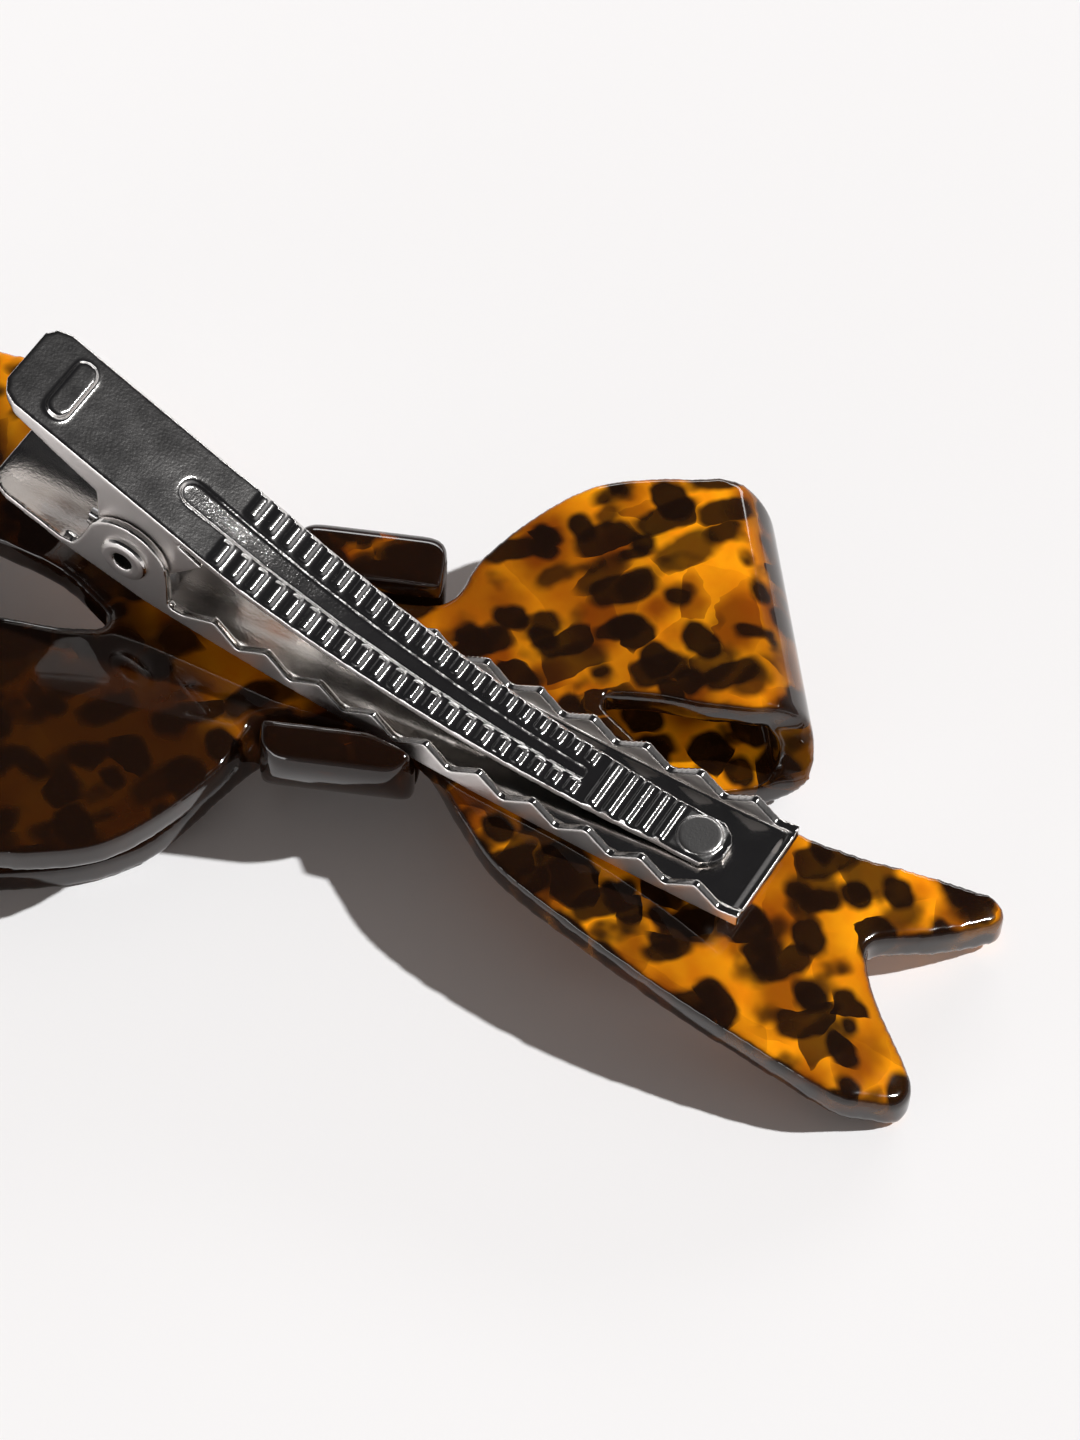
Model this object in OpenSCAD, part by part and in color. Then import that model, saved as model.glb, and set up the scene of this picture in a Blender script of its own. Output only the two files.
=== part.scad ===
// Bow barrette: folded acetate bow on a sprung alligator clip.
// The bow lies face down, its back and the clip upward. +X runs along the clip to its jaw tip,
// +Z up from the plane the bow rests on, and the origin is under the centre of the bow.

/* [Bow ribbon] */
// Thickness of the acetate sheet
sheet = 2.4; // [2.0:0.1:2.8]
// Height of the bow's back face above the rest plane
back_height = 8.4; // [7.8:0.1:9.6]
// Distance from the bow's centre to the tip of each tail
tail_reach = 45; // [40:0.5:52]
// Depth of the swallow-tail cut
tail_notch = 7; // [4:0.5:9]
// Half the width of a tail at its prongs
tail_half_width = 8.7; // [8:0.1:10]
// Distance along the tail where it starts to curve down to the rest plane
tail_bend_start = 17.2; // [17:0.1:20]
// Distance from the bow's centre to the outside of each loop's fold
loop_reach = 29.3; // [26:0.1:34]
// Angle of the loops from the line of the clip
loop_angle = 38.5; // [36:0.5:41]
// Width of a loop along its outer edge from its axis
loop_outer = 12.6; // [11:0.1:14]
// Width of a loop along its inner edge from its axis
loop_inner = 6.6; // [5.5:0.1:7.2]
// How far the front of a loop is skewed across the fold
loop_skew = 2.2; // [0:0.1:3]

// How far the outer edge of a loop rounds in at the fold
fold_corner = 2.8; // [1:0.1:4]

// Half the width of the neck inside the knot
neck_half = 5.3; // [4.6:0.1:5.8]

/* [Knot band] */
// Thickness of the knot's tabs on the back of the bow
tab_thick = 2.2; // [1.6:0.1:2.4]
// Width of the knot band
knot_width = 10; // [8:0.1:11]
// Half the length of the knot band across the bow
knot_half = 9.6; // [9.4:0.1:11]
// Radius of the knot band's corners
knot_corner = 1.8; // [0.8:0.1:2.4]
// Turn of the knot band from the line of the clip
knot_angle = 24; // [20:1:28]
// Thickness of the knot band across the front
knot_front = 2.2; // [1.4:0.1:2.3]
// Distance from the centre to the end of the tab on the loop side of the clip
tab_end_far = 5; // [4.6:0.1:6.5]
// Distance from the centre to the end of the tab on the other side
tab_end_near = 6.7; // [6.5:0.1:7.2]

/* [Clip jaw] */
// Width of the clip across its walls
clip_width = 8; // [7.6:0.1:9]
// Thickness of the clip's sheet steel
steel = 0.6; // [0.5:0.05:0.7]
// Sideways shift of the clip from the bow's centre
clip_shift = -0.9; // [-1.2:0.1:0]
// Front end of the jaw from the bow's centre
jaw_front = 31.2; // [30:0.1:33]
// Back end of the jaw's thumb plate from the bow's centre
jaw_back = -25; // [-26:0.1:-23]
// Radius of the long upward bow of the jaw
jaw_radius = 200; // [150:5:300]
// Number of teeth along each wall
teeth = 10; // [8:1:12]
// Height of a tooth's tip above the underside of the jaw
tooth_tip = 2.3; // [2.0:0.1:2.6]
// Height of the wall between teeth above the underside of the jaw
tooth_root = 0.95; // [0.8:0.05:1.2]

/* [Pivot] */
// Pivot's distance behind the bow's centre
pivot_back = 14.2; // [13.5:0.1:15]
// Radius of the rivet's shank
rivet_radius = 1.15; // [1.0:0.05:1.3]
// Radius of the hole through the rivet
rivet_hole = 0.7; // [0.5:0.05:0.8]
// Radius of the rivet's rolled heads
head_radius = 1.75; // [1.5:0.05:2.0]
// Radius of the jaw's ears round the pivot
ear_radius = 3.1; // [2.9:0.1:3.4]
// Diameter of the spring's wire
wire = 0.7; // [0.5:0.05:0.8]

/* [Lever] */
// Slope of the lever's thumb plate in degrees
lever_slope = 24.5; // [22:0.5:26]
// Radius of the bend along the front of the lever
lever_radius = 81; // [75:1:95]
// Front tip of the lever from the bow's centre
lever_tip = 28.2; // [26:0.1:29]
// Back end of the lever's thumb plate from the bow's centre
lever_back = -23.9; // [-25:0.1:-22]
// Width of the lever at its tip
lever_tip_width = 3.5; // [3:0.1:4]
// Number of grip ribs beside the lever's groove
ribs = 21; // [16:1:24]
// Height of the lever's ribs
rib_height = 0.25; // [0.15:0.05:0.35]

/* [Hidden] */
$fn = 64;
gap = 0.02;
running = 0.05;

acetate = [0.42, 0.17, 0.03];
nickel = [0.72, 0.72, 0.74];
glue = [0.86, 0.84, 0.76];

// Smooth curve through the points p, n steps to a span.
function spline_at(a, b, c, d, t) =
    0.5 * (2 * b + (c - a) * t + (2 * a - 5 * b + 4 * c - d) * t * t
    + (3 * b - a - 3 * c + d) * t * t * t);
function spline(p, n) = [
    for (i = [0 : len(p) - 2])
        for (k = [0 : n - 1])
            spline_at(p[max(i - 1, 0)], p[i], p[i + 1], p[min(i + 2, len(p) - 1)], k / n),
    p[len(p) - 1]];

// Arc round c from angle a0 to a1, in n steps.
function arc(c, r, a0, a1, n) = [
    for (i = [0 : n])
        let (a = a0 + (a1 - a0) * i / n) c + r * [cos(a), sin(a)]];

// Closed band along the line p, from z0 to z1 above it.
function xz(p, z0, z1) = concat([for (q = p) q + [0, z1]], [for (i = [len(p) - 1 : -1 : 0]) p[i] + [0, z0]]);

// Draws a shape given in X and Z, as a slab of width w centred on the clip's line.
module slab(w) {
    translate([0, clip_shift + w / 2, 0])
        rotate([90, 0, 0])
            linear_extrude(w) children();
}

// ---- Ribbon: one sheet with two tails and two loops folded to the front ----
skin = 0.01;
ply = sheet - 2 * skin;
fold_out = (back_height - skin) / 2;
fold_in = fold_out - ply;
fold_at = loop_reach - back_height / 2;
stub_at = fold_at - 2;
ply_rise = back_height - sheet - ply;
tail_drop = back_height - sheet;
tail_run = tail_reach - tail_bend_start;
tail_curve = (tail_run * tail_run + tail_drop * tail_drop) / (2 * tail_drop);
notch_x = tail_reach - tail_notch;
tail_mid = 0.4;
neck = neck_half * [-sin(knot_angle), cos(knot_angle)];
notch_at = [16, 6.15];
notch_round = 0.85;
tail_side = (tail_bend_start + notch_x) / 2;
tail_low = tail_mid - tail_half_width;
tail_high = tail_mid + tail_half_width;

// Edge of a tail from the neck round its two prongs, 5 steps to a span.
function tail_edge() = spline(
    [-neck, [7.1, -3.8], [12.2, -6.6], [tail_bend_start, -8.9], [tail_side + 1, -10.3],
     [notch_x + 2, -9.7], [tail_reach - 1.7, tail_low], [tail_reach - 0.2, tail_low + 1.3],
     [tail_reach - 0.5, tail_low + 3.1], [notch_x + 2.6, tail_mid - 2.9], [notch_x + 0.5, tail_mid - 0.9],
     [notch_x, tail_mid + 0.3], [notch_x + 0.7, tail_mid + 1.4], [notch_x + 3, tail_mid + 3.6],
     [tail_reach - 2, tail_high - 2.6], [tail_reach - 1.1, tail_high - 1], [tail_reach - 2.2, tail_high],
     [tail_reach - 5, tail_high - 1], [tail_side + 4, 4.8], [tail_bend_start + 4, 4.1],
     [tail_bend_start, 4.9]], 5);
function turn(p, a) = [for (q = p) [q[0] * cos(a) - q[1] * sin(a), q[0] * sin(a) + q[1] * cos(a)]];
function loop_inner_edge() = spline(concat(
    [notch_at + notch_round * [-sin(loop_angle), cos(loop_angle)]],
    turn([[19, 1.8 - loop_inner], [stub_at - 1.5, 0.9 - loop_inner], [stub_at, 0.5 - loop_inner]],
         loop_angle)), 5);
function loop_outer_edge() = spline(concat(
    turn([[stub_at, loop_outer - 0.2], [stub_at - 1.5, loop_outer - 0.05], [17.5, loop_outer - 0.2],
          [13.4, loop_outer - 2.1], [9.2, 7.3],
          [6.3, 3.9]], loop_angle), [neck]), 6);

// Front of a loop in plan, from the fold back to the neck.
function ply_edge() = concat(
    spline([[0.3, 4], [5, 4.2], [9.5, 6.6], [14, loop_outer - 3.8], [19, loop_outer - 2.5],
            [fold_at, loop_outer - 0.4 - loop_skew]], 5),
    spline([[fold_at, -loop_inner - loop_skew], [19, -loop_inner - 2.3], [14, -loop_inner - 1],
            [9, -5.2], [5, -4.2], [0.3, -4]], 5));

function ply_lift(u) = ply_rise * (1 + cos(180 * min(max((u - 6.6) / (15.5 - 6.6), 0), 1))) / 2;

// Flat back of one side of the bow, from the neck's middle to the loop's fold and the tail's bend.
module back_half() {
    translate([0, 0, back_height - sheet])
        linear_extrude(sheet)
            polygon(concat([for (i = [0 : 15]) tail_edge()[i]], [[tail_bend_start, 4.9]],
                arc(notch_at, notch_round, 260, 140, 8), loop_inner_edge(), loop_outer_edge()));
}

module tail_bend() {
    intersection() {
        linear_extrude(back_height) polygon([for (i = [15 : len(tail_edge()) - 1]) tail_edge()[i]]);
        translate([tail_bend_start, 20, back_height - sheet - tail_curve])
            rotate([90, 0, 0])
                difference() {
                    cylinder(r = tail_curve + sheet, h = 40, $fn = 360);
                    translate([0, 0, -1]) cylinder(r = tail_curve, h = 42, $fn = 360);
                }
    }
}

module fold() {
    translate([0, 0, back_height - sheet + skin])
        linear_extrude(ply)
            polygon([[stub_at - 0.5, 0.65 - loop_inner], [fold_at, -loop_inner], [fold_at, loop_outer - 0.4],
                     [stub_at - 0.5, loop_outer - 0.25]]);
    intersection() {
        translate([fold_at, 30, fold_out])
            rotate([90, 0, 0])
                difference() {
                    cylinder(r = fold_out, h = 60, $fn = 180);
                    translate([0, 0, -1]) cylinder(r = fold_in, h = 62, $fn = 180);
                }
        translate([fold_at, 0, 0])
            rotate([90, 0, 90])
                linear_extrude(20)
                    polygon([[-loop_inner - loop_skew, -1], [loop_outer - 0.4 - loop_skew, -1],
                             [loop_outer - 0.4 - loop_skew, ply],
                             [loop_outer - 0.4, back_height - sheet + skin],
                             [loop_outer - 0.4, back_height + 1], [-loop_inner, back_height + 1],
                             [-loop_inner, back_height - sheet + skin], [-loop_inner - loop_skew, ply]]);
        linear_extrude(back_height + 1)
            polygon(concat([[fold_at - 1, -30]], [[loop_reach + 1, -30]],
                [for (a = [100 : -10 : 0]) [fold_at + (fold_out + 0.1) * sin(a),
                    loop_outer - 0.37 - fold_corner * (1 - cos(a))]], [[fold_at - 1, loop_outer - 0.37]]));
    }
}

module front_ply() {
    intersection() {
        linear_extrude(back_height) polygon(ply_edge());
        translate([0, 30, 0])
            rotate([90, 0, 0])
                linear_extrude(60)
                    polygon(xz([for (i = [0 : 24]) [fold_at * i / 24, ply_lift(fold_at * i / 24)]], 0, ply));
    }
}

module ribbon() {
    color(acetate)
        for (side = [0, 180])
            rotate(side) {
                back_half();
                tail_bend();
                rotate(loop_angle) {
                    fold();
                    front_ply();
                }
            }
}

// ---- Knot: a bent band gripping the neck of the bow from the front ----
knot_top = back_height + tab_thick;
knot_bottom = ply_rise - knot_front;
knot_round = 1.6;
knot_wide_z = knot_top - knot_round;
hollow_front = neck_half + 0.9;
hollow_back = neck_half + 1.3;
clip_clearance = 0.4;

function knot_outline() = concat(
    arc([knot_half - knot_round, knot_wide_z], knot_round, 90, 0, 6),
    [for (a = [-6 : -6 : -174]) [knot_half * cos(a), knot_wide_z + (knot_wide_z - knot_bottom) * sin(a)]],
    arc([knot_round - knot_half, knot_wide_z], knot_round, 180, 90, 6));

// Plan of the knot, with its four corners rounded.
function knot_plan() = let (x = knot_width / 2 - knot_corner, y = knot_half - knot_corner) concat(
    arc([x, y], knot_corner, 0, 90, 6), arc([-x, y], knot_corner, 90, 180, 6),
    arc([-x, -y], knot_corner, 180, 270, 6), arc([x, -y], knot_corner, 270, 360, 6));

module knot_band() {
    color(acetate)
        difference() {
            rotate(knot_angle)
                intersection() {
                    translate([0, 0, knot_bottom - 1]) linear_extrude(knot_top + 2) polygon(knot_plan());
                    translate([-knot_width / 2 - 1, 0, 0])
                        rotate([90, 0, 90])
                            linear_extrude(knot_width + 2)
                                difference() {
                                    polygon(knot_outline());
                                    polygon([[-tab_end_near, knot_top + 1],
                                             [-tab_end_near, back_height - sheet - gap],
                                             [-hollow_front, ply_rise - gap], [hollow_front, ply_rise - gap],
                                             [hollow_back, back_height - sheet - gap],
                                             [hollow_back, back_height + gap],
                                             [tab_end_far, back_height + gap], [tab_end_far, knot_top + 1]]);
                                }
                }
            translate([-30, clip_shift - clip_width / 2 - clip_clearance, back_height - 0.1])
                cube([60, clip_width + 2 * clip_clearance, tab_thick + 1]);
        }
}

// ---- Clip jaw: channel with toothed walls, ears at the pivot and a thumb plate ----
jaw_low = back_height + 0.2;
jaw_low_x = 17;
jaw_bend = -13;
thumb_rise = 0.28;
function jaw_arc(x) = jaw_low + (x - jaw_low_x) * (x - jaw_low_x) / (2 * jaw_radius);
function jaw_z(x) = x < jaw_bend ? jaw_arc(jaw_bend) + thumb_rise * (jaw_bend - x) : jaw_arc(x);
pivot = [-pivot_back, jaw_z(-pivot_back) + 3.45];
edge = clip_width / 2;
inner = edge - steel;
jaw_steps = [jaw_back, -22, -19, -16, jaw_bend, for (x = [-11 : 2 : jaw_front - 0.5]) x, jaw_front];
ear_front = pivot[0] + ear_radius + 0.1;
wall_back = pivot[0] - ear_radius - 2;
tooth_first = 6.6 - pivot_back;
tooth_pitch = (jaw_front - 3.16 - tooth_first) / (teeth - 1);

function tooth_line() = [
    for (i = [0 : teeth - 1]) each [
        [tooth_first + tooth_pitch * i - 0.12, jaw_z(tooth_first + tooth_pitch * i) + tooth_tip - 0.04],
        [tooth_first + tooth_pitch * i + 0.12, jaw_z(tooth_first + tooth_pitch * i) + tooth_tip - 0.04],
        [tooth_first + tooth_pitch * (i + 0.42), jaw_z(tooth_first + tooth_pitch * (i + 0.45)) + tooth_root],
        [tooth_first + tooth_pitch * (i + 0.5), jaw_z(tooth_first + tooth_pitch * (i + 0.45)) + tooth_root]]];

module jaw_wall() {
    polygon(concat(
        [[wall_back, jaw_z(wall_back)]],
        [for (x = jaw_steps) if (x > wall_back + 0.3) [x, jaw_z(x)]],
        [[jaw_front, jaw_z(jaw_front) + 1.1]],
        [for (i = [len(tooth_line()) - 1 : -1 : 0]) tooth_line()[i]],
        [[pivot[0] + ear_radius + 1.1, jaw_z(ear_front) + tooth_root - 0.05],
         [pivot[0] + ear_radius + 0.3, jaw_z(ear_front) + tooth_root],
         [pivot[0] + ear_radius, jaw_z(ear_front) + tooth_root + 0.3]],
        arc(pivot, ear_radius, 0, 165, 16),
        [[pivot[0] - ear_radius - 0.5, pivot[1] - 0.5], [pivot[0] - ear_radius - 1.1, pivot[1] - 1.4],
         [wall_back, jaw_z(wall_back) + steel]]));
}

module lower_jaw() {
    color(nickel)
        difference() {
            union() {
                intersection() {
                    slab(clip_width) polygon(xz([for (x = jaw_steps) [x, jaw_z(x)]], 0, steel));
                    translate([0, clip_shift, 0])
                        linear_extrude(40)
                            polygon([[jaw_back, 1.1 - edge], [jaw_back + 0.6, 0.5 - edge],
                                     [jaw_back + 1.4, 0.25 - edge], [wall_back + 0.1, -edge],
                                     [jaw_front - 0.5, -edge], [jaw_front, 0.5 - edge],
                                     [jaw_front, edge - 0.5], [jaw_front - 0.5, edge],
                                     [wall_back + 0.1, edge],
                                     [jaw_back + 1.4, edge - 0.25], [jaw_back + 0.6, edge - 0.5],
                                     [jaw_back, edge - 1.1]]);
                }
                difference() {
                    slab(clip_width) jaw_wall();
                    translate([-30, clip_shift - inner, 0]) cube([80, 2 * inner, 40]);
                }
                // Lip across the front end
                slab(2 * inner + 0.2)
                    polygon([[jaw_front - 0.8, jaw_z(jaw_front - 0.8) + steel / 2],
                             [jaw_front, jaw_z(jaw_front) + steel / 2],
                             [jaw_front, jaw_z(jaw_front) + steel + 0.3],
                             [jaw_front - 0.35, jaw_z(jaw_front) + steel + 0.22],
                             [jaw_front - 0.8, jaw_z(jaw_front - 0.8) + steel]]);
                // Pressed oval under the thumb plate
                translate([-22, clip_shift, jaw_z(-22)])
                    rotate([0, atan(thumb_rise), 0])
                        translate([0, 0, -0.45])
                            linear_extrude(0.8)
                                for (y = [-1.5, 1.5]) {
                                    translate([0, y]) circle(r = 0.75, $fn = 32);
                                    translate([-0.75, -1.5]) square([1.5, 3]);
                                }
            }
            translate([pivot[0], 20, pivot[1]])
                rotate([90, 0, 0]) cylinder(r = rivet_radius + gap, h = 60);
        }
}

// ---- Bond: set adhesive filling the space between the bow's back and the jaw ----
module jaw_bond() {
    color(glue)
        slab(6.4)
            polygon(concat([for (x = [1 : 2 : 17]) [x, jaw_z(x)]], [[17, back_height], [1, back_height]]));
}

// ---- Rivet: hollow eyelet clinched over both of the jaw's ears ----
module pivot_rivet() {
    color(nickel)
        translate([pivot[0], clip_shift, pivot[1]])
            rotate([90, 0, 0])
                difference() {
                    union() {
                        cylinder(r = rivet_radius, h = clip_width + 0.6, center = true);
                        for (side = [0, 180])
                            rotate([side, 0, 0])
                                translate([0, 0, clip_width / 2])
                                    rotate_extrude()
                                        polygon([[0, 0], [head_radius, 0], [head_radius, 0.15],
                                                 [head_radius - 0.12, 0.32], [head_radius - 0.4, 0.42],
                                                 [rivet_hole + 0.25, 0.42], [0, 0.2]]);
                    }
                    cylinder(r = rivet_hole, h = clip_width + 4, center = true);
                }
}

// Side curve of the lever's top face: a straight thumb plate, then one long bend.
lever_bend = 6.2 - pivot_back;
lever_outer = inner - 0.1;
function bend_tilt(x) = asin(sin(lever_slope) - (x - lever_bend) / lever_radius);
function bend_drop(x) = lever_radius * (cos(bend_tilt(x)) - cos(lever_slope));
lever_seat = jaw_z(lever_tip) + steel + gap + steel / cos(bend_tilt(lever_tip)) + bend_drop(lever_tip);
function lever_z(x) = x < lever_bend ? lever_seat + tan(lever_slope) * (lever_bend - x)
    : lever_seat - bend_drop(x);

// ---- Spring: coil on the rivet, one leg under the lever and one on the jaw ----
coil = rivet_radius + 0.15 + wire / 2 + 0.3;
turns = 3;
function seat(x) = jaw_z(x) + steel + wire / 2 + 0.05;
low_leg = -pivot_back - 4.4;
high_leg = -pivot_back - 6.2;
low_end = [low_leg, seat(low_leg)] - pivot;
high_end = [high_leg, lever_z(high_leg) - (steel + wire / 2) / cos(lever_slope) - 0.06] - pivot;
low_angle = atan2(low_end[1], low_end[0]) + acos(coil / norm(low_end));
high_angle = atan2(high_end[1], high_end[0]) - acos(coil / norm(high_end));
sweep = high_angle - low_angle + 360 * (turns + (high_angle < low_angle ? 1 : 0));
coil_steps = 24 * turns + 12;
function coil_y(t) = (t - 0.5) * (wire + 0.12) * sweep / 360;
function spring_at(i) =
    i < 0 ? [low_end[0], coil_y(0), low_end[1]] :
    i > coil_steps ? [high_end[0], coil_y(1), high_end[1]] :
    [coil * cos(low_angle + sweep * i / coil_steps), coil_y(i / coil_steps),
     coil * sin(low_angle + sweep * i / coil_steps)];
function spring_out(i) =
    let (a = low_angle + sweep * min(max(i, 0), coil_steps) / coil_steps) [cos(a), 0, sin(a)];
wire_sides = 10;

module torsion_spring() {
    n = coil_steps + 3;
    rings = [for (i = [-1 : coil_steps + 1])
        for (k = [0 : wire_sides - 1])
            spring_at(i) + wire / 2 * (cos(360 * k / wire_sides) * spring_out(i)
            + sin(360 * k / wire_sides) * [0, 1, 0])];
    walls = [for (i = [0 : n - 2]) for (k = [0 : wire_sides - 1])
        let (a = i * wire_sides + k, b = i * wire_sides + (k + 1) % wire_sides)
            [a, a + wire_sides, b + wire_sides, b]];
    color(nickel)
        translate([pivot[0], clip_shift, pivot[1]])
            polyhedron(rings, concat(walls, [[for (k = [0 : wire_sides - 1]) k]],
                [[for (k = [wire_sides - 1 : -1 : 0]) (n - 1) * wire_sides + k]]), convexity = 8);
}

// ---- Lever: stamped plate with side flanges and ears, grooved and ribbed on top ----
taper_from = -6;
taper_to = 24;
function lever_half(x) = x < taper_from ? lever_outer
    : lever_outer - (lever_outer - lever_tip_width / 2) * min((x - taper_from) / (taper_to - taper_from), 1);
lever_steps = [lever_back, -20, -16, lever_bend - 4, for (x = [lever_bend : 2 : lever_tip - 1]) x, lever_tip];

function lever_plan(in) = concat(
    [[lever_back, in + 1.1 - lever_outer], [lever_back + 0.4, in + 0.4 - lever_outer],
     [lever_back + 1.2, in - lever_outer], [taper_from, in - lever_outer],
     [taper_to, in - lever_half(taper_to)], [lever_tip - 1.1, in - lever_tip_width / 2],
     [lever_tip - 0.3, in - lever_tip_width / 2 + 0.6], [lever_tip, in - 0.6],
     [lever_tip, 0.6 - in], [lever_tip - 0.3, lever_tip_width / 2 - 0.6 - in],
     [lever_tip - 1.1, lever_tip_width / 2 - in], [taper_to, lever_half(taper_to) - in],
     [taper_from, lever_outer - in], [lever_back + 1.2, lever_outer - in],
     [lever_back + 0.4, lever_outer - 0.4 - in], [lever_back, lever_outer - 1.1 - in]]);

groove_from = -12.4;
groove_to = 18.2;
groove_depth = 0.3;
function groove_plan(grow) = concat(
    arc([groove_from + 1, 0], 1 + grow, 90, 270, 8),
    arc([groove_to - 0.6, 0], 0.5 + grow, -90, 90, 6));

rib_from = -8.6;
rib_pitch = (groove_to - rib_from) / ribs;
function rib_line(x0, pitch, count) = [
    for (i = [0 : count - 1]) each [
        [x0 + pitch * (i + 0.12), lever_z(x0 + pitch * i) - 0.05],
        [x0 + pitch * (i + 0.32), lever_z(x0 + pitch * (i + 0.32)) + rib_height],
        [x0 + pitch * (i + 0.62), lever_z(x0 + pitch * (i + 0.62)) + rib_height],
        [x0 + pitch * (i + 0.86), lever_z(x0 + pitch * (i + 1)) - 0.05]]];

module rib_strip(x0, pitch, count, w) {
    slab(w)
        polygon(concat(rib_line(x0, pitch, count),
            [for (i = [8 : -1 : 0]) let (x = x0 + pitch * count * i / 8) [x, lever_z(x) - steel / 2]]));
}

module lever_shell() {
    intersection() {
        slab(2 * lever_outer)
            polygon(concat([for (x = lever_steps) [x, lever_z(x)]],
                [for (i = [len(lever_steps) - 1 : -1 : 3]) [lever_steps[i], lever_z(lever_steps[i])
                    - steel / cos(min(lever_slope, abs(bend_tilt(max(lever_steps[i], lever_bend)))))]],
                [[lever_bend - 0.8, lever_z(lever_bend - 0.8) - 1.1],
                 [pivot[0] + 2.5, pivot[1] - 1.1], [pivot[0] + 1.5, pivot[1] - 2.15],
                 [pivot[0], pivot[1] - 2.6], [pivot[0] - 1.5, pivot[1] - 2.15],
                 [pivot[0] - 2.5, pivot[1] - 0.9],
                 [pivot[0] - 2.5, lever_z(pivot[0] - 2.5) - 2.3],
                 [pivot[0] - 5.3, lever_z(pivot[0] - 5.3) - 1.9], [lever_back, lever_z(lever_back) - 1]]));
        translate([0, clip_shift, 0]) linear_extrude(40) polygon(lever_plan(0));
    }
}

module upper_lever() {
    color(nickel)
        difference() {
            union() {
                difference() {
                    lever_shell();
                    // Hollow below the plate, between the flanges
                    intersection() {
                        slab(2 * lever_outer)
                            polygon(concat([for (x = lever_steps) [x, lever_z(x) - steel / cos(lever_slope)
                                * (x < 0 ? 1 : cos(lever_slope) / cos(bend_tilt(x)))]],
                                [[lever_tip, 0], [lever_back, 0]]));
                        translate([0, clip_shift, 0])
                            linear_extrude(40)
                                polygon([[lever_back - 1, steel - lever_outer],
                                         [lever_bend + 1, steel - lever_outer],
                                         [lever_bend + 1, lever_outer - steel],
                                         [lever_back - 1, lever_outer - steel]]);
                    }
                }
                intersection() {
                    rib_strip(rib_from, rib_pitch, ribs, 2 * lever_outer);
                    translate([0, clip_shift, 0])
                        linear_extrude(40)
                            difference() {
                                polygon(lever_plan(0.25));
                                polygon(groove_plan(0.3));
                            }
                }
                intersection() {
                    rib_strip(groove_to + 0.4, 1.2, 5, 2 * lever_outer);
                    translate([0, clip_shift, 0]) linear_extrude(40) polygon(lever_plan(0.15));
                }
                // Underside of the pressed groove
                intersection() {
                    slab(2 * lever_outer)
                        polygon(xz([for (x = [groove_from : 1.8 : 12]) [x, lever_z(x)]],
                            -steel - groove_depth, -steel / 2));
                    translate([0, clip_shift, 0]) linear_extrude(40) polygon(groove_plan(0.15));
                }
                // Raised oval at the thumb end
                translate([-20.6, clip_shift, lever_z(-20.6)])
                    rotate([0, lever_slope, 0])
                        translate([0, 0, -0.3])
                            linear_extrude(0.75)
                                for (y = [-1.5, 1.5]) {
                                    translate([0, y]) circle(r = 0.8, $fn = 32);
                                    translate([-0.8, -1.5]) square([1.6, 3]);
                                }
                // Raised tip pad
                translate([26.2, clip_shift, lever_z(26.2) - 0.3])
                    linear_extrude(0.55) circle(r = 1.45, $fn = 40);
            }
            intersection() {
                slab(2 * lever_outer)
                    polygon(xz([for (x = [groove_from - 0.4 : 1.8 : groove_to + 1]) [x, lever_z(x)]],
                        -groove_depth, 2));
                translate([0, clip_shift, 0]) linear_extrude(40) polygon(groove_plan(-0.1));
            }
            translate([pivot[0], 20, pivot[1]])
                rotate([90, 0, 0]) cylinder(r = rivet_radius + running, h = 60);
        }
}

ribbon();
knot_band();
jaw_bond();
lower_jaw();
pivot_rivet();
torsion_spring();
upper_lever();
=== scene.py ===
"""Bow barrette: a folded tortoiseshell acetate bow lying face down, with its sprung clip upward."""
import math

import bpy
from mathutils import Matrix, Vector


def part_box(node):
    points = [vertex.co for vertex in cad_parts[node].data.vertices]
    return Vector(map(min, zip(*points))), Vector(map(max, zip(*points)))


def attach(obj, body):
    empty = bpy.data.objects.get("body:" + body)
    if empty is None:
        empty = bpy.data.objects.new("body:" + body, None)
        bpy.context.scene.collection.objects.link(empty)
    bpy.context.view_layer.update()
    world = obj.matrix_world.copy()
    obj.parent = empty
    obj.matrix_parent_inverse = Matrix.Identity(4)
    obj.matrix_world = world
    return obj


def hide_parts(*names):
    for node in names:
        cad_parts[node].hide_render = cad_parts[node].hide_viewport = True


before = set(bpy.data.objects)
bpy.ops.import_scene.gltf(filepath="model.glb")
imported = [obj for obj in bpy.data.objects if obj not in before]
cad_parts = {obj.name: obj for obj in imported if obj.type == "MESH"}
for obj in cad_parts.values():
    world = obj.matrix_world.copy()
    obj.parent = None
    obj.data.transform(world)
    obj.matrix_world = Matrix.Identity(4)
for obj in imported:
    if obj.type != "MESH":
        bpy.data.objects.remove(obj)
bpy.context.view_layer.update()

# ---- Ribbon ----
# One sheet of cellulose acetate, cut to the bow's outline, warmed and folded so that its two
# loops meet behind the knot. It is tumbled afterwards, which rounds and polishes every edge.

MM = 0.001
ACETATE_GRAIN = 0.25 * MM
ACETATE_AMBER = (1.0, 0.44, 0.006)
ACETATE_HONEY = (0.78, 0.17, 0.002)
ACETATE_BROWN = (0.13, 0.020, 0.0015)
ACETATE_DEEP = (0.026, 0.007, 0.0016)
ACETATE_BLACK = (0.010, 0.004, 0.002)


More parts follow.
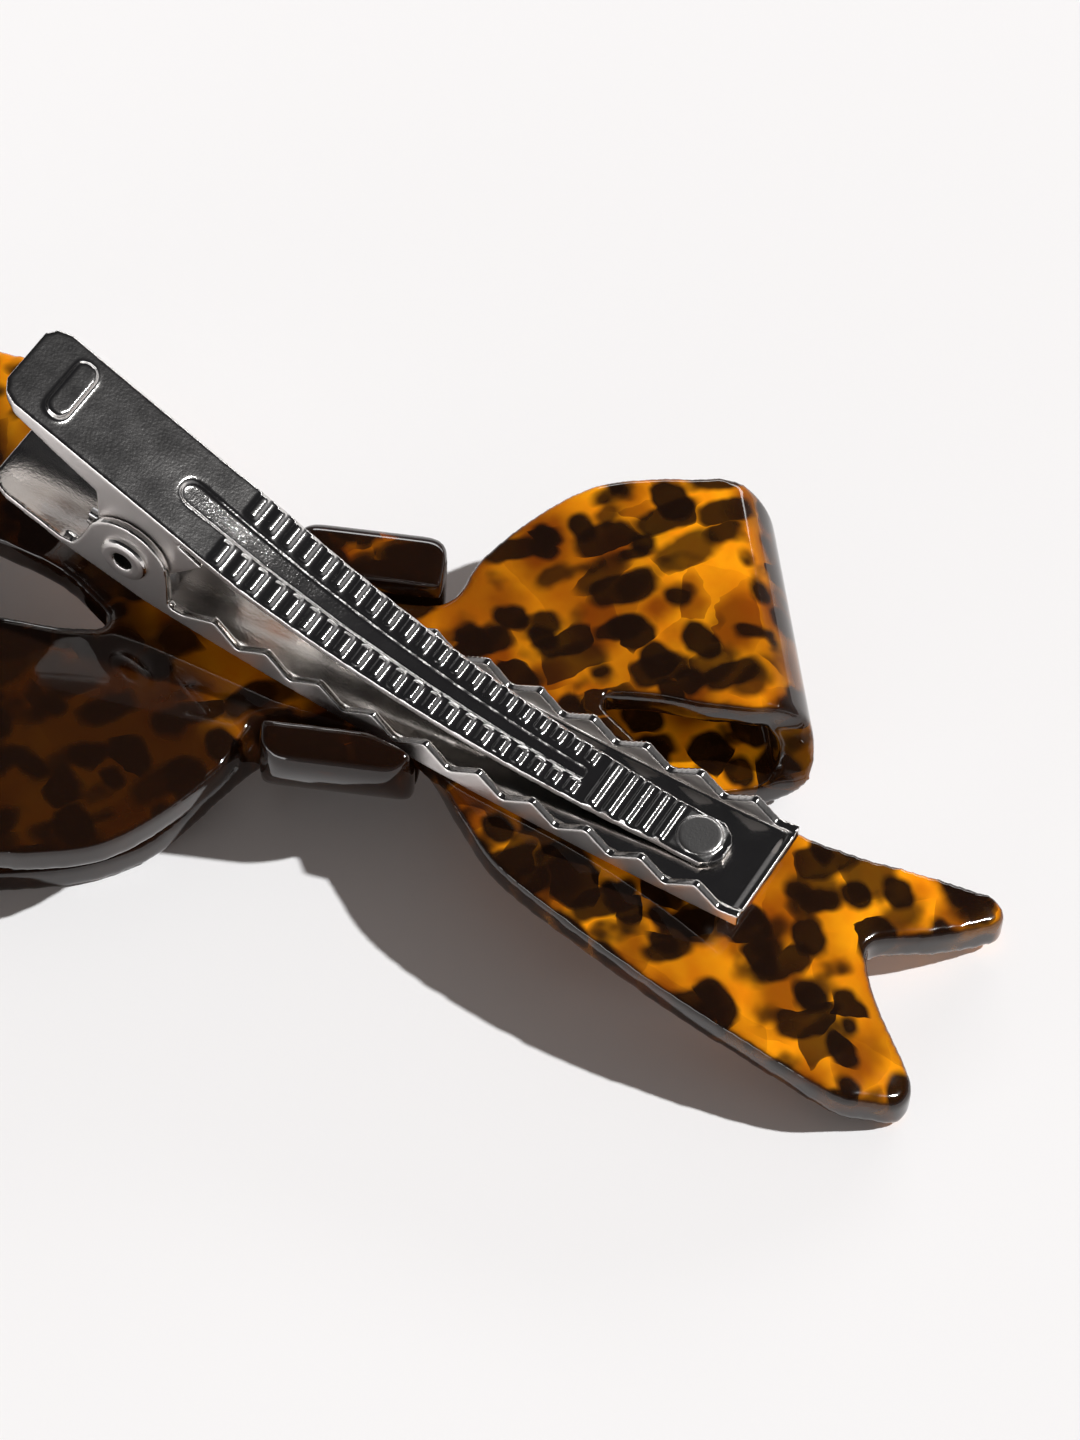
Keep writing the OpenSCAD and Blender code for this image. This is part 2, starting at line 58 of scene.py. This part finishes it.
def finish_surface(node, name, body, grain, softening, rounder_behind=None):
    """A piece with a node's shape, with its edges rounded as tumbling or plating leaves them.
    Behind the given X, where the plate was folded round a larger radius, it is rounded more."""
    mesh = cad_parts[node].data.copy()
    mesh.materials.clear()
    piece = bpy.data.objects.new(name, mesh)
    bpy.context.scene.collection.objects.link(piece)
    skin = piece.modifiers.new("even_skin", "REMESH")
    skin.mode = "VOXEL"
    skin.voxel_size = grain
    skin.use_smooth_shade = True
    worn = piece.modifiers.new("worn_edges", "SMOOTH")
    worn.factor = 0.5
    worn.iterations = softening
    bpy.context.view_layer.update()
    shaped = bpy.data.meshes.new_from_object(piece.evaluated_get(bpy.context.evaluated_depsgraph_get()))
    piece.modifiers.clear()
    piece.data = shaped
    shaped.name = name
    if rounder_behind is not None:
        folded = piece.vertex_groups.new(name="folded")
        for point in shaped.vertices:
            share = min(max((rounder_behind - point.co.x) / MM, 0), 1)
            folded.add([point.index], share, "REPLACE")
        press = piece.modifiers.new("fold_radius", "SMOOTH")
        press.factor = 0.5
        press.iterations = 16
        press.vertex_group = "folded"
    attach(piece, body)
    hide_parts(node)
    return piece


def node_at(tree, kind, x, y, **settings):
    """Places one shader node and sets its plain properties."""
    made = tree.nodes.new(kind)
    made.location = (x, y)
    for key, value in settings.items():
        setattr(made, key, value)
    return made


def chip_layer():
    """Group: a scatter of pigment chips, as a mask that is 1 inside a chip."""
    group = bpy.data.node_groups.new("pigment_chips", "ShaderNodeTree")
    for socket in ("Turn", "Length", "Size", "Cover", "Blur", "Depth", "Squareness"):
        group.interface.new_socket(socket, in_out="INPUT", socket_type="NodeSocketFloat")
    group.interface.new_socket("Mask", in_out="OUTPUT", socket_type="NodeSocketFloat")
    ins = node_at(group, "NodeGroupInput", -1400, 0)
    out = node_at(group, "NodeGroupOutput", 900, 0)
    link = group.links.new
    place = node_at(group, "ShaderNodeTexCoord", -1400, 400)
    # Coordinates in millimetres, shifted in depth, gently bent, then turned and stretched
    scaled = node_at(group, "ShaderNodeVectorMath", -1200, 400, operation="SCALE")
    scaled.inputs["Scale"].default_value = 1000
    link(place.outputs["Object"], scaled.inputs[0])
    shift = node_at(group, "ShaderNodeCombineXYZ", -1200, 150)
    for axis in ("X", "Y", "Z"):
        link(ins.outputs["Depth"], shift.inputs[axis])
    moved = node_at(group, "ShaderNodeVectorMath", -1000, 350, operation="ADD")
    link(scaled.outputs[0], moved.inputs[0])
    link(shift.outputs[0], moved.inputs[1])
    wander = node_at(group, "ShaderNodeTexNoise", -1000, 650)
    wander.inputs["Scale"].default_value = 0.38
    wander.inputs["Detail"].default_value = 2.0
    link(moved.outputs[0], wander.inputs["Vector"])
    centred = node_at(group, "ShaderNodeVectorMath", -820, 650, operation="SUBTRACT")
    centred.inputs[1].default_value = (0.5, 0.5, 0.5)
    link(wander.outputs["Color"], centred.inputs[0])
    bent = node_at(group, "ShaderNodeVectorMath", -820, 450, operation="MULTIPLY_ADD")
    bent.inputs[1].default_value = (1.3, 1.3, 1.3)
    link(centred.outputs[0], bent.inputs[0])
    link(moved.outputs[0], bent.inputs[2])
    turned = node_at(group, "ShaderNodeVectorRotate", -620, 450, rotation_type="Z_AXIS")
    link(bent.outputs[0], turned.inputs["Vector"])
    link(ins.outputs["Turn"], turned.inputs["Angle"])
    long_way = node_at(group, "ShaderNodeMath", -620, 200, operation="MULTIPLY")
    link(ins.outputs["Length"], long_way.inputs[0])
    link(ins.outputs["Size"], long_way.inputs[1])
    cell = node_at(group, "ShaderNodeCombineXYZ", -440, 200)
    link(long_way.outputs[0], cell.inputs["X"])
    link(ins.outputs["Size"], cell.inputs["Y"])
    link(ins.outputs["Size"], cell.inputs["Z"])
    stretched = node_at(group, "ShaderNodeVectorMath", -260, 400, operation="DIVIDE")
    link(turned.outputs[0], stretched.inputs[0])
    link(cell.outputs[0], stretched.inputs[1])
    chips = node_at(group, "ShaderNodeTexVoronoi", -60, 400, distance="MINKOWSKI", feature="F1")
    chips.inputs["Scale"].default_value = 1.0
    link(stretched.outputs[0], chips.inputs["Vector"])
    link(ins.outputs["Squareness"], chips.inputs["Exponent"])
    # Each chip's own size comes from its cell's random colour
    own = node_at(group, "ShaderNodeSeparateColor", 140, 200)
    link(chips.outputs["Color"], own.inputs["Color"])
    spread = node_at(group, "ShaderNodeMath", 300, 200, operation="MULTIPLY_ADD")
    spread.inputs[1].default_value = 0.34
    link(own.outputs["Red"], spread.inputs[0])
    link(ins.outputs["Cover"], spread.inputs[2])
    low = node_at(group, "ShaderNodeMath", 480, 120, operation="SUBTRACT")
    link(spread.outputs[0], low.inputs[0])
    link(ins.outputs["Blur"], low.inputs[1])
    high = node_at(group, "ShaderNodeMath", 480, 280, operation="ADD")
    link(spread.outputs[0], high.inputs[0])
    link(ins.outputs["Blur"], high.inputs[1])
    mask = node_at(group, "ShaderNodeMapRange", 680, 300, interpolation_type="SMOOTHSTEP")
    mask.inputs["To Min"].default_value = 1.0
    mask.inputs["To Max"].default_value = 0.0
    link(chips.outputs["Distance"], mask.inputs["Value"])
    link(low.outputs[0], mask.inputs["From Min"])
    link(high.outputs[0], mask.inputs["From Max"])
    link(mask.outputs[0], out.inputs["Mask"])
    return group


pigment_chips = chip_layer()


def acetate(name, darkness, least_painted_shade):
    """Polished acetate: amber base, sharp near-black chips at the surface, softer ones below it.
    Darkness makes every chip larger, and the last argument is the least painted shade away from the middle."""
    stuff = bpy.data.materials.new(name)
    stuff.use_nodes = True
    tree = stuff.node_tree
    link = tree.links.new
    face = tree.nodes["Principled BSDF"]
    layers = [
        dict(Turn=0.5, Length=1.3, Size=2.8, Cover=0.22 + darkness, Blur=0.08, Depth=0.0, Squareness=2.3),
        dict(Turn=-0.9, Length=2.0, Size=2.4, Cover=0.18 + darkness, Blur=0.09, Depth=17.3, Squareness=3.4),
        dict(Turn=1.9, Length=1.8, Size=3.1, Cover=0.17 + darkness, Blur=0.1, Depth=5.3, Squareness=2.6),
        dict(Turn=1.4, Length=1.5, Size=3.4, Cover=0.30 + darkness, Blur=0.2, Depth=41.9, Squareness=2.0),
        dict(Turn=0.2, Length=1.8, Size=7.5, Cover=0.24 + darkness, Blur=0.3, Depth=77.0, Squareness=2.0),
    ]
    masks = []
    for i, settings in enumerate(layers):
        layer = node_at(tree, "ShaderNodeGroup", -1100, 500 - 260 * i, node_tree=pigment_chips)
        for key, value in settings.items():
            layer.inputs[key].default_value = value
        masks.append(layer.outputs["Mask"])
    # Painted shade: faces turned away from upright are painted nearly black, standing in for light that
    # crosses so many chips edge on
    shape = node_at(tree, "ShaderNodeNewGeometry", -1100, -620)
    upright = node_at(tree, "ShaderNodeSeparateXYZ", -920, -620)
    link(shape.outputs["Normal"], upright.inputs[0])
    flat = node_at(tree, "ShaderNodeMath", -760, -620, operation="ABSOLUTE")
    link(upright.outputs["Z"], flat.inputs[0])
    painted_edge_shade = node_at(tree, "ShaderNodeMapRange", -600, -620, interpolation_type="SMOOTHSTEP")
    painted_edge_shade.inputs["From Min"].default_value = 0.62
    painted_edge_shade.inputs["From Max"].default_value = 0.995
    painted_edge_shade.inputs["To Min"].default_value = 1.0
    painted_edge_shade.inputs["To Max"].default_value = 0.0
    link(flat.outputs[0], painted_edge_shade.inputs["Value"])
    cloud = node_at(tree, "ShaderNodeTexNoise", -1100, -900)
    cloud.inputs["Scale"].default_value = 420
    cloud.inputs["Detail"].default_value = 4
    place = node_at(tree, "ShaderNodeTexCoord", -1300, -900)
    link(place.outputs["Object"], cloud.inputs["Vector"])
    honey = node_at(tree, "ShaderNodeMix", -300, 500, data_type="RGBA")
    honey.inputs["A"].default_value = (*ACETATE_AMBER, 1)
    honey.inputs["B"].default_value = (*ACETATE_HONEY, 1)
    link(cloud.outputs["Fac"], honey.inputs["Factor"])
    colour = honey.outputs["Result"]
    # One loop was cut where the sheet holds far more pigment
    across = node_at(tree, "ShaderNodeVectorMath", -1100, -1200, operation="DOT_PRODUCT")
    across.inputs[1].default_value = (-0.45 / MM, -0.9 / MM, 0)
    link(place.outputs["Object"], across.inputs[0])
    dense = node_at(tree, "ShaderNodeMapRange", -900, -1200, interpolation_type="SMOOTHSTEP")
    dense.inputs["From Min"].default_value = 6
    dense.inputs["From Max"].default_value = 12
    link(across.outputs["Value"], dense.inputs["Value"])
    # Painted shade: the colour is browned towards the knot, where the sheet is doubled and less light comes
    # back through it
    from_middle = node_at(tree, "ShaderNodeVectorMath", -1100, -1400, operation="LENGTH")
    link(place.outputs["Object"], from_middle.inputs[0])
    painted_middle_shade = node_at(tree, "ShaderNodeMapRange", -900, -1400, interpolation_type="SMOOTHSTEP")
    painted_middle_shade.inputs["From Min"].default_value = 11 * MM
    painted_middle_shade.inputs["From Max"].default_value = 25 * MM
    painted_middle_shade.inputs["To Min"].default_value = 1.0
    painted_middle_shade.inputs["To Max"].default_value = least_painted_shade
    link(from_middle.outputs["Value"], painted_middle_shade.inputs["Value"])
    # Mixed in order: chips, the painted shade near the middle, the denser loop, the painted edge shade,
    # then the sharp chips
    steps = (
        (masks[4], 0.62, ACETATE_BROWN),
        (masks[3], 0.8, ACETATE_BROWN),
        (painted_middle_shade.outputs[0], 0.5, ACETATE_BROWN),
        (dense.outputs[0], 0.975, ACETATE_DEEP),
        (painted_edge_shade.outputs[0], 0.86, ACETATE_BLACK),
        (masks[2], 0.86, ACETATE_BLACK),
        (masks[1], 0.96, ACETATE_BLACK),
        (masks[0], 0.98, ACETATE_BLACK),
    )
    for i, (mask, strength, tint) in enumerate(steps):
        amount = node_at(tree, "ShaderNodeMath", -300 + 180 * i, 120 - 160 * i, operation="MULTIPLY")
        amount.inputs[1].default_value = strength
        link(mask, amount.inputs[0])
        mix = node_at(tree, "ShaderNodeMix", -120 + 180 * i, 420, data_type="RGBA")
        mix.inputs["B"].default_value = (*tint, 1)
        link(amount.outputs[0], mix.inputs["Factor"])
        link(colour, mix.inputs["A"])
        colour = mix.outputs["Result"]
    link(colour, face.inputs["Base Color"])
    # Painted glow: the colour also goes to emission, so the sheet glows faintly as if lit through from the
    # table
    link(colour, face.inputs["Emission Color"])
    face.inputs["Emission Strength"].default_value = 0.10
    # Tumbled gloss, with faint handling marks
    marks = node_at(tree, "ShaderNodeTexNoise", -300, -300)
    marks.inputs["Scale"].default_value = 900
    marks.inputs["Detail"].default_value = 6
    link(place.outputs["Object"], marks.inputs["Vector"])
    gloss = node_at(tree, "ShaderNodeMapRange", -100, -300)
    gloss.inputs["From Min"].default_value = 0.35
    gloss.inputs["From Max"].default_value = 0.75
    gloss.inputs["To Min"].default_value = 0.03
    gloss.inputs["To Max"].default_value = 0.09
    link(marks.outputs["Fac"], gloss.inputs["Value"])
    link(gloss.outputs[0], face.inputs["Roughness"])
    waves = node_at(tree, "ShaderNodeTexNoise", -300, -600)
    waves.inputs["Scale"].default_value = 160
    link(place.outputs["Object"], waves.inputs["Vector"])
    bump = node_at(tree, "ShaderNodeBump", -100, -600)
    bump.inputs["Strength"].default_value = 0.25
    bump.inputs["Distance"].default_value = 0.06 * MM
    link(waves.outputs["Fac"], bump.inputs["Height"])
    link(bump.outputs[0], face.inputs["Normal"])
    face.inputs["IOR"].default_value = 1.49
    face.inputs["Coat Weight"].default_value = 0.2
    face.inputs["Coat Roughness"].default_value = 0.02
    face.inputs["Subsurface Weight"].default_value = 0.15
    face.inputs["Subsurface Radius"].default_value = (1.0, 0.35, 0.05)
    face.inputs["Subsurface Scale"].default_value = 1.4 * MM
    face.location = (1000, 200)
    tree.nodes["Material Output"].location = (1300, 200)
    return stuff


ribbon = finish_surface("ribbon", "bow_ribbon", "bow", ACETATE_GRAIN, 16)
ribbon.data.materials.append(acetate("tortoiseshell_acetate", 0.0, 0.0))

# ---- Knot ----
# A short strip of the same acetate, bent warm round the neck of the bow from the front. Its two
# ends turn over onto the back, one on each side of the clip.

knot = finish_surface("knot_band", "bow_knot", "bow", 0.2 * MM, 64)
# The knot's colour carries the painted shade at full strength all over, besides its larger chips
knot.data.materials.append(acetate("dark_tortoiseshell_and_painted_shade", 0.26, 1.0))

# ---- Bond ----
# Clear adhesive that squeezed out a little as the clip was pressed onto the bow, then set.


def set_adhesive():
    stuff = bpy.data.materials.new("set_adhesive")
    stuff.use_nodes = True
    tree = stuff.node_tree
    link = tree.links.new
    face = tree.nodes["Principled BSDF"]
    place = node_at(tree, "ShaderNodeTexCoord", -900, 0)
    haze = node_at(tree, "ShaderNodeTexNoise", -700, 0)
    haze.inputs["Scale"].default_value = 700
    haze.inputs["Detail"].default_value = 5
    link(place.outputs["Object"], haze.inputs["Vector"])
    tone = node_at(tree, "ShaderNodeMix", -450, 100, data_type="RGBA")
    tone.inputs["A"].default_value = (0.30, 0.20, 0.11, 1)
    tone.inputs["B"].default_value = (0.62, 0.54, 0.42, 1)
    link(haze.outputs["Fac"], tone.inputs["Factor"])
    link(tone.outputs["Result"], face.inputs["Base Color"])
    bump = node_at(tree, "ShaderNodeBump", -450, -250)
    bump.inputs["Distance"].default_value = 0.1 * MM
    link(haze.outputs["Fac"], bump.inputs["Height"])
    link(bump.outputs[0], face.inputs["Normal"])
    face.inputs["Roughness"].default_value = 0.22
    return stuff


bond = finish_surface("jaw_bond", "adhesive_bed", "bow", 0.14 * MM, 6)
bond.data.materials.append(set_adhesive())

# ---- Jaw ----
# Thin steel strip, blanked with its teeth, folded up into a channel with two ears and plated
# with bright nickel. Barrel plating leaves fine pits and rounds the sheared edges slightly.


def plated_steel(name, tone, roughness, pitting, struck=()):
    """Bright nickel over stamped steel: fine pits, drawn lines and duller patches.
    Each struck area (from x, to x, centre y, half width) was hit by the die, which leaves it grainy.
    The last one was hit hardest, and is dull as well."""
    stuff = bpy.data.materials.new(name)
    stuff.use_nodes = True
    tree = stuff.node_tree
    link = tree.links.new
    face = tree.nodes["Principled BSDF"]
    place = node_at(tree, "ShaderNodeTexCoord", -1300, 0)
    pits = node_at(tree, "ShaderNodeTexNoise", -1000, -200)
    pits.inputs["Scale"].default_value = 5200
    pits.inputs["Detail"].default_value = 3
    link(place.outputs["Object"], pits.inputs["Vector"])
    patches = node_at(tree, "ShaderNodeTexNoise", -1000, 200)
    patches.inputs["Scale"].default_value = 500
    patches.inputs["Detail"].default_value = 6
    link(place.outputs["Object"], patches.inputs["Vector"])
    drawn = node_at(tree, "ShaderNodeMapping", -1200, -500)
    drawn.inputs["Scale"].default_value = (0.04, 1, 1)
    link(place.outputs["Object"], drawn.inputs["Vector"])
    lines = node_at(tree, "ShaderNodeTexNoise", -1000, -500)
    lines.inputs["Scale"].default_value = 5200
    lines.inputs["Detail"].default_value = 2
    link(drawn.outputs[0], lines.inputs["Vector"])
    shade = node_at(tree, "ShaderNodeMix", -500, 300, data_type="RGBA")
    shade.inputs["A"].default_value = (*[c * 0.9 for c in tone], 1)
    shade.inputs["B"].default_value = (*tone, 1)
    link(patches.outputs["Fac"], shade.inputs["Factor"])
    dull = node_at(tree, "ShaderNodeMapRange", -500, 0)
    dull.inputs["From Min"].default_value = 0.3
    dull.inputs["From Max"].default_value = 0.75
    dull.inputs["To Min"].default_value = roughness * 0.9
    dull.inputs["To Max"].default_value = roughness * 1.15
    link(patches.outputs["Fac"], dull.inputs["Value"])
    # The upright sides of a stamping are drawn over the tool, which leaves them satin. Their colour is also
    # painted pale: a painted reflection of the bright table they face
    shape = node_at(tree, "ShaderNodeNewGeometry", -1300, 500)
    upright = node_at(tree, "ShaderNodeSeparateXYZ", -1100, 500)
    link(shape.outputs["Normal"], upright.inputs[0])
    lean = node_at(tree, "ShaderNodeMath", -900, 500, operation="ABSOLUTE")
    link(upright.outputs["Y"], lean.inputs[0])
    side = node_at(tree, "ShaderNodeMapRange", -700, 500, interpolation_type="SMOOTHSTEP")
    side.inputs["From Min"].default_value = 0.8
    side.inputs["From Max"].default_value = 0.97
    link(lean.outputs[0], side.inputs["Value"])
    satin = node_at(tree, "ShaderNodeMix", -300, 150, data_type="FLOAT")
    link(side.outputs[0], satin.inputs[0])
    link(dull.outputs[0], satin.inputs[2])
    satin.inputs[3].default_value = 0.42
    finish = satin
    # Painted reflection: upright sides get a pale base colour
    painted_side_reflection = node_at(tree, "ShaderNodeMix", -300, 350, data_type="RGBA")
    painted_side_reflection.inputs["B"].default_value = (0.86, 0.82, 0.80, 1)
    link(side.outputs[0], painted_side_reflection.inputs["Factor"])
    link(shade.outputs["Result"], painted_side_reflection.inputs["A"])
    link(painted_side_reflection.outputs["Result"], face.inputs["Base Color"])
    grain = None
    for i, (x0, x1, middle, half) in enumerate(struck):
        away = node_at(tree, "ShaderNodeVectorMath", -1300, 800 + 200 * i, operation="SUBTRACT")
        away.inputs[1].default_value = ((x0 + x1) / 2 * MM, middle * MM, 0)
        link(place.outputs["Object"], away.inputs[0])
        scaled = node_at(tree, "ShaderNodeVectorMath", -1150, 800 + 200 * i, operation="MULTIPLY")
        scaled.inputs[1].default_value = (2 / ((x1 - x0) * MM), 1 / (half * MM), 0)
        link(away.outputs[0], scaled.inputs[0])
        sides = node_at(tree, "ShaderNodeVectorMath", -1000, 800 + 200 * i, operation="ABSOLUTE")
        link(scaled.outputs[0], sides.inputs[0])
        parts = node_at(tree, "ShaderNodeSeparateXYZ", -850, 800 + 200 * i)
        link(sides.outputs[0], parts.inputs[0])
        far = node_at(tree, "ShaderNodeMath", -700, 800 + 200 * i, operation="MAXIMUM")
        link(parts.outputs["X"], far.inputs[0])
        link(parts.outputs["Y"], far.inputs[1])
        inside = node_at(tree, "ShaderNodeMapRange", -550, 800 + 200 * i)
        inside.inputs["From Min"].default_value = 0.9
        inside.inputs["From Max"].default_value = 1.05
        inside.inputs["To Min"].default_value = 1.0
        inside.inputs["To Max"].default_value = 0.0
        link(far.outputs[0], inside.inputs["Value"])
        if grain is None:
            grain = inside.outputs[0]
        else:
            either = node_at(tree, "ShaderNodeMath", -400, 800 + 200 * i, operation="MAXIMUM")
            link(grain, either.inputs[0])
            link(inside.outputs[0], either.inputs[1])
            grain = either.outputs[0]
    relief = node_at(tree, "ShaderNodeMath", -700, -300, operation="MULTIPLY_ADD")
    relief.inputs[1].default_value = 0.5
    link(lines.outputs["Fac"], relief.inputs[0])
    link(pits.outputs["Fac"], relief.inputs[2])
    bump = node_at(tree, "ShaderNodeBump", -400, -300)
    bump.inputs["Strength"].default_value = pitting
    bump.inputs["Distance"].default_value = 0.02 * MM
    height = relief.outputs[0]
    if grain is not None:
        frost = node_at(tree, "ShaderNodeTexNoise", -1000, -800)
        frost.inputs["Scale"].default_value = 7500
        frost.inputs["Detail"].default_value = 4
        link(place.outputs["Object"], frost.inputs["Vector"])
        deep = node_at(tree, "ShaderNodeMath", -700, -600, operation="MULTIPLY")
        link(frost.outputs["Fac"], deep.inputs[0])
        link(grain, deep.inputs[1])
        both = node_at(tree, "ShaderNodeMath", -550, -450, operation="MULTIPLY_ADD")
        both.inputs[1].default_value = 1.8
        link(deep.outputs[0], both.inputs[0])
        link(relief.outputs[0], both.inputs[2])
        height = both.outputs[0]
        finish = node_at(tree, "ShaderNodeMix", -100, 0, data_type="FLOAT")
        finish.inputs[3].default_value = 0.30
        link(inside.outputs[0], finish.inputs[0])
        link(satin.outputs[0], finish.inputs[2])
    link(finish.outputs[0], face.inputs["Roughness"])
    link(height, bump.inputs["Height"])
    link(bump.outputs[0], face.inputs["Normal"])
    face.inputs["Metallic"].default_value = 1.0
    return stuff


jaw = finish_surface("lower_jaw", "clip_jaw", "bow", 0.11 * MM, 2)
jaw.data.materials.append(plated_steel("nickel_plate_jaw", (0.74, 0.71, 0.68), 0.13, 0.25))

# ---- Rivet ----
# A hollow eyelet pushed through the four ears and rolled over at both ends, so that it can't
# come out and the lever turns on its shank.

rivet = finish_surface("pivot_rivet", "clip_rivet", "bow", 0.06 * MM, 3)
rivet.data.materials.append(plated_steel("nickel_plate_rivet", (0.78, 0.75, 0.72), 0.16, 0.4))

# ---- Spring ----
# Drawn steel wire wound round the eyelet. One leg presses on the jaw and the other under the
# lever's thumb plate, so that the mouth shuts by itself.

WIRE = 0.7 * MM
COIL = 1.95 * MM
TURNS = 3
COIL_PITCH = 0.82 * MM
LOW_LEG = Vector((-4.4, 0, -1.22)) * MM
HIGH_LEG = Vector((-6.2, 0, 7.3)) * MM
low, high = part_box("pivot_rivet")
eyelet = (low + high) / 2
wire_plate = plated_steel("drawn_wire", (0.55, 0.55, 0.56), 0.28, 0.5)


def bent_wire(name, path, body):
    """Round wire along a path round the eyelet, with its cut ends closed."""
    curve = bpy.data.curves.new(name, "CURVE")
    curve.dimensions = "3D"
    curve.bevel_depth = WIRE / 2
    curve.bevel_resolution = 4
    curve.use_fill_caps = True
    line = curve.splines.new("POLY")
    line.points.add(len(path) - 1)
    for point, place in zip(line.points, path):
        point.co = (*(eyelet + place), 1)
    line.use_smooth = True
    piece = bpy.data.objects.new(name, curve)
    bpy.context.scene.collection.objects.link(piece)
    curve.materials.append(wire_plate)
    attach(piece, body)
    return piece


low_turn = math.atan2(LOW_LEG.z, LOW_LEG.x) + math.acos(COIL / LOW_LEG.length)
high_turn = math.atan2(HIGH_LEG.z, HIGH_LEG.x) - math.acos(COIL / HIGH_LEG.length)
if high_turn < low_turn:
    high_turn += 2 * math.pi
sweep = high_turn - low_turn + 2 * math.pi * TURNS
half_width = COIL_PITCH * sweep / (4 * math.pi)
coil_path = [LOW_LEG - Vector((0, half_width, 0))]
for i in range(141):
    angle = low_turn + sweep * i / 140
    coil_path.append(Vector((COIL * math.cos(angle), half_width * (i / 70 - 1), COIL * math.sin(angle))))
# The upper leg turns with the lever, so it is drawn as its own length of wire from the coil's end
leg_path = [coil_path[-1].lerp(HIGH_LEG + Vector((0, half_width, 0)), t / 6) for t in range(7)]
spring_coil = bent_wire("spring_coil", coil_path, "bow")
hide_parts("torsion_spring")
spring_leg = bent_wire("spring_upper_leg", leg_path, "lever")

# ---- Lever ----
# The upper plate, stamped from the same strip, with grip ribs pressed on both sides of a long
# groove that stiffens it. Its ears sit inside the jaw's ears on the eyelet.

lever = finish_surface("upper_lever", "clip_lever", "lever", 0.1 * MM, 8, -9.5 * MM)
STRUCK = [(-12.3, 18.0, -0.9, 0.95), (24.7, 27.7, -0.9, 1.5)]
lever.data.materials.append(plated_steel("nickel_plate_lever", (0.70, 0.68, 0.66), 0.10, 0.35, STRUCK))

# ---- Floor, light and camera ----
# A matt white table, one hard lamp low on the right, a dim room and a long lens from above.

TABLE_HALF = 1.6
corners = [(x * TABLE_HALF, y * TABLE_HALF, 0) for x, y in ((-1, -1), (1, -1), (1, 1), (-1, 1))]
table = bpy.data.meshes.new("table_top")
table.from_pydata(corners, [], [(0, 1, 2, 3)])
table_top = bpy.data.objects.new("table_top", table)
bpy.context.scene.collection.objects.link(table_top)
table_top.location.z = -0.02 * MM
card = bpy.data.materials.new("matt_white_card")
card.use_nodes = True
card_face = card.node_tree.nodes["Principled BSDF"]
card_face.inputs["Base Color"].default_value = (0.88, 0.88, 0.885, 1)
card_face.inputs["Roughness"].default_value = 0.85
card_face.inputs["Specular IOR Level"].default_value = 0.15
table.materials.append(card)

lamp = bpy.data.lights.new("hard_lamp", "SUN")
lamp.energy = 3.75
lamp.angle = math.radians(1.6)
lamp_stand = bpy.data.objects.new("hard_lamp", lamp)
bpy.context.scene.collection.objects.link(lamp_stand)
lamp_stand.rotation_euler = Vector((0.82, 0.57, 1.0)).to_track_quat("Z", "Y").to_euler()

room = bpy.data.worlds.new("dim_studio")
bpy.context.scene.world = room
room.use_nodes = True
walls = room.node_tree
sky = walls.nodes["Background"]
view_way = node_at(walls, "ShaderNodeTexCoord", -900, 0)
height = node_at(walls, "ShaderNodeSeparateXYZ", -700, 0)
walls.links.new(view_way.outputs["Generated"], height.inputs[0])
band = node_at(walls, "ShaderNodeValToRGB", -500, 0)
band.color_ramp.elements[0].position = 0.05
band.color_ramp.elements[0].color = (0.36, 0.36, 0.37, 1)
band.color_ramp.elements[1].position = 0.5
band.color_ramp.elements[1].color = (0.025, 0.025, 0.027, 1)
walls.links.new(height.outputs["Z"], band.inputs["Fac"])
# Mirrors show the dark ceiling, and the bounce from the walls fills the shadows
seen_by = node_at(walls, "ShaderNodeLightPath", -500, 300)
room_tone = node_at(walls, "ShaderNodeMix", -200, 100, data_type="RGBA")
room_tone.inputs["B"].default_value = (0.19, 0.162, 0.150, 1)
walls.links.new(seen_by.outputs["Is Diffuse Ray"], room_tone.inputs["Factor"])
walls.links.new(band.outputs["Color"], room_tone.inputs["A"])
walls.links.new(room_tone.outputs["Result"], sky.inputs["Color"])
sky.inputs["Strength"].default_value = 0.8


def softbox(name, where, size, power):
    """A diffused lamp that shows as a long highlight in the acetate and the plate."""
    light = bpy.data.lights.new(name, "AREA")
    light.shape = "RECTANGLE"
    light.size, light.size_y = size
    light.energy = power
    holder = bpy.data.objects.new(name, light)
    bpy.context.scene.collection.objects.link(holder)
    holder.location = where
    holder.rotation_euler = (Vector(where) - Vector((0, 0, 0.01))).to_track_quat("Z", "Y").to_euler()


softbox("back_softbox", (-0.10, 0.55, 0.22), (0.5, 0.06), 0.6)
softbox("low_front_card", (-0.10, -0.60, 0.08), (0.6, 0.10), 0.9)

AIM = Vector((12.6, 2.3, 8.4)) * MM
turn = Matrix.Rotation(math.radians(28.5), 4, "Z")
tilt = Matrix.Rotation(math.radians(90 - 55.7), 4, "X")
roll = Matrix.Rotation(math.radians(3.2), 4, "Z")
lens = bpy.data.cameras.new("long_lens")
lens.sensor_width = 36
lens.lens = 125
lens.clip_start = 0.01
camera = bpy.data.objects.new("camera", lens)
bpy.context.scene.collection.objects.link(camera)
camera.matrix_world = Matrix.Translation(AIM) @ turn @ tilt @ roll @ Matrix.Translation((0, 0, 0.3203))
bpy.context.scene.camera = camera
bpy.context.scene.view_settings.view_transform = "Standard"
